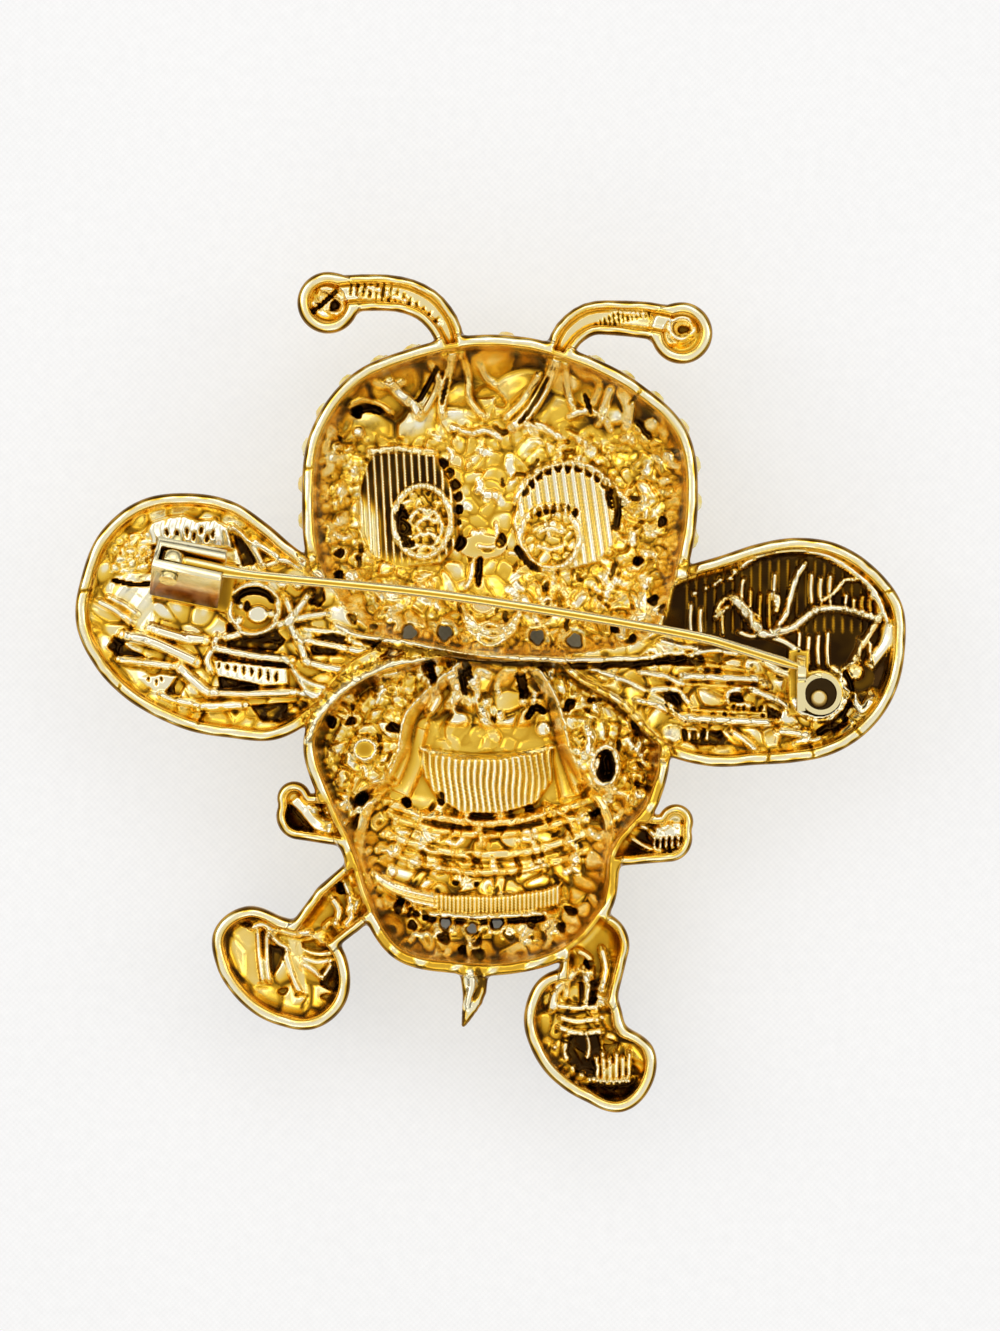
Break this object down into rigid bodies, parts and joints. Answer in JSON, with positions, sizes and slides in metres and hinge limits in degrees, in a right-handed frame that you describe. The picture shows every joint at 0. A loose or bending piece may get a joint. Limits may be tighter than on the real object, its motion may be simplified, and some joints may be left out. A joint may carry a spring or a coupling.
{
  "type": "bee brooch",
  "caption": "Hollow-backed cast bee brooch with stone seats, enamelled front, and a hinged pin whose point rests in a hook catch.",
  "frame": {"origin": "centre of the brooch's outline, at the height of its lowest front point", "axes": "face down: +Z out of the hollow back toward the pin, +Y toward the antennae, +X toward the catch"},
  "size_m": [0.052, 0.0526, 0.0107],
  "materials": {
    "gold_casting": "gold-plated cast zinc, bright",
    "gold_findings": "gold-plated brass and steel wire, bright",
    "stones": "foil-backed cut glass",
    "white_enamel": "glossy cold enamel",
    "ivory_enamel": "glossy pearl enamel",
    "black_enamel": "glossy cold enamel"
  },
  "bodies": {
    "brooch": {"casting": "gold_casting", "hinge_bracket": "gold_findings", "hinge_rivet": "gold_findings", "catch": "gold_findings", "head_stones": "stones", "thorax_stones": "stones", "belly_stones": "stones", "left_tip_stone": "stones", "right_tip_stone": "stones", "left_eye": "white_enamel", "right_eye": "white_enamel", "left_pupil": "black_enamel", "right_pupil": "black_enamel", "nose": "black_enamel", "upper_band": "black_enamel", "lower_band": "black_enamel", "left_wing_enamel": "ivory_enamel", "right_wing_enamel": "ivory_enamel", "left_shoe_enamel": "black_enamel", "right_shoe_enamel": "black_enamel"},
    "stem": {"pin_stem": "gold_findings"}
  },
  "joints": [
    {"name": "pin_hinge", "type": "hinge", "parent": "brooch", "child": "stem", "pos_m": [-0.01981, 0.0082, 0.00935], "axis": [-0.1806, -0.8643, 0.4695], "range_deg": [0, 100]}
  ]
}
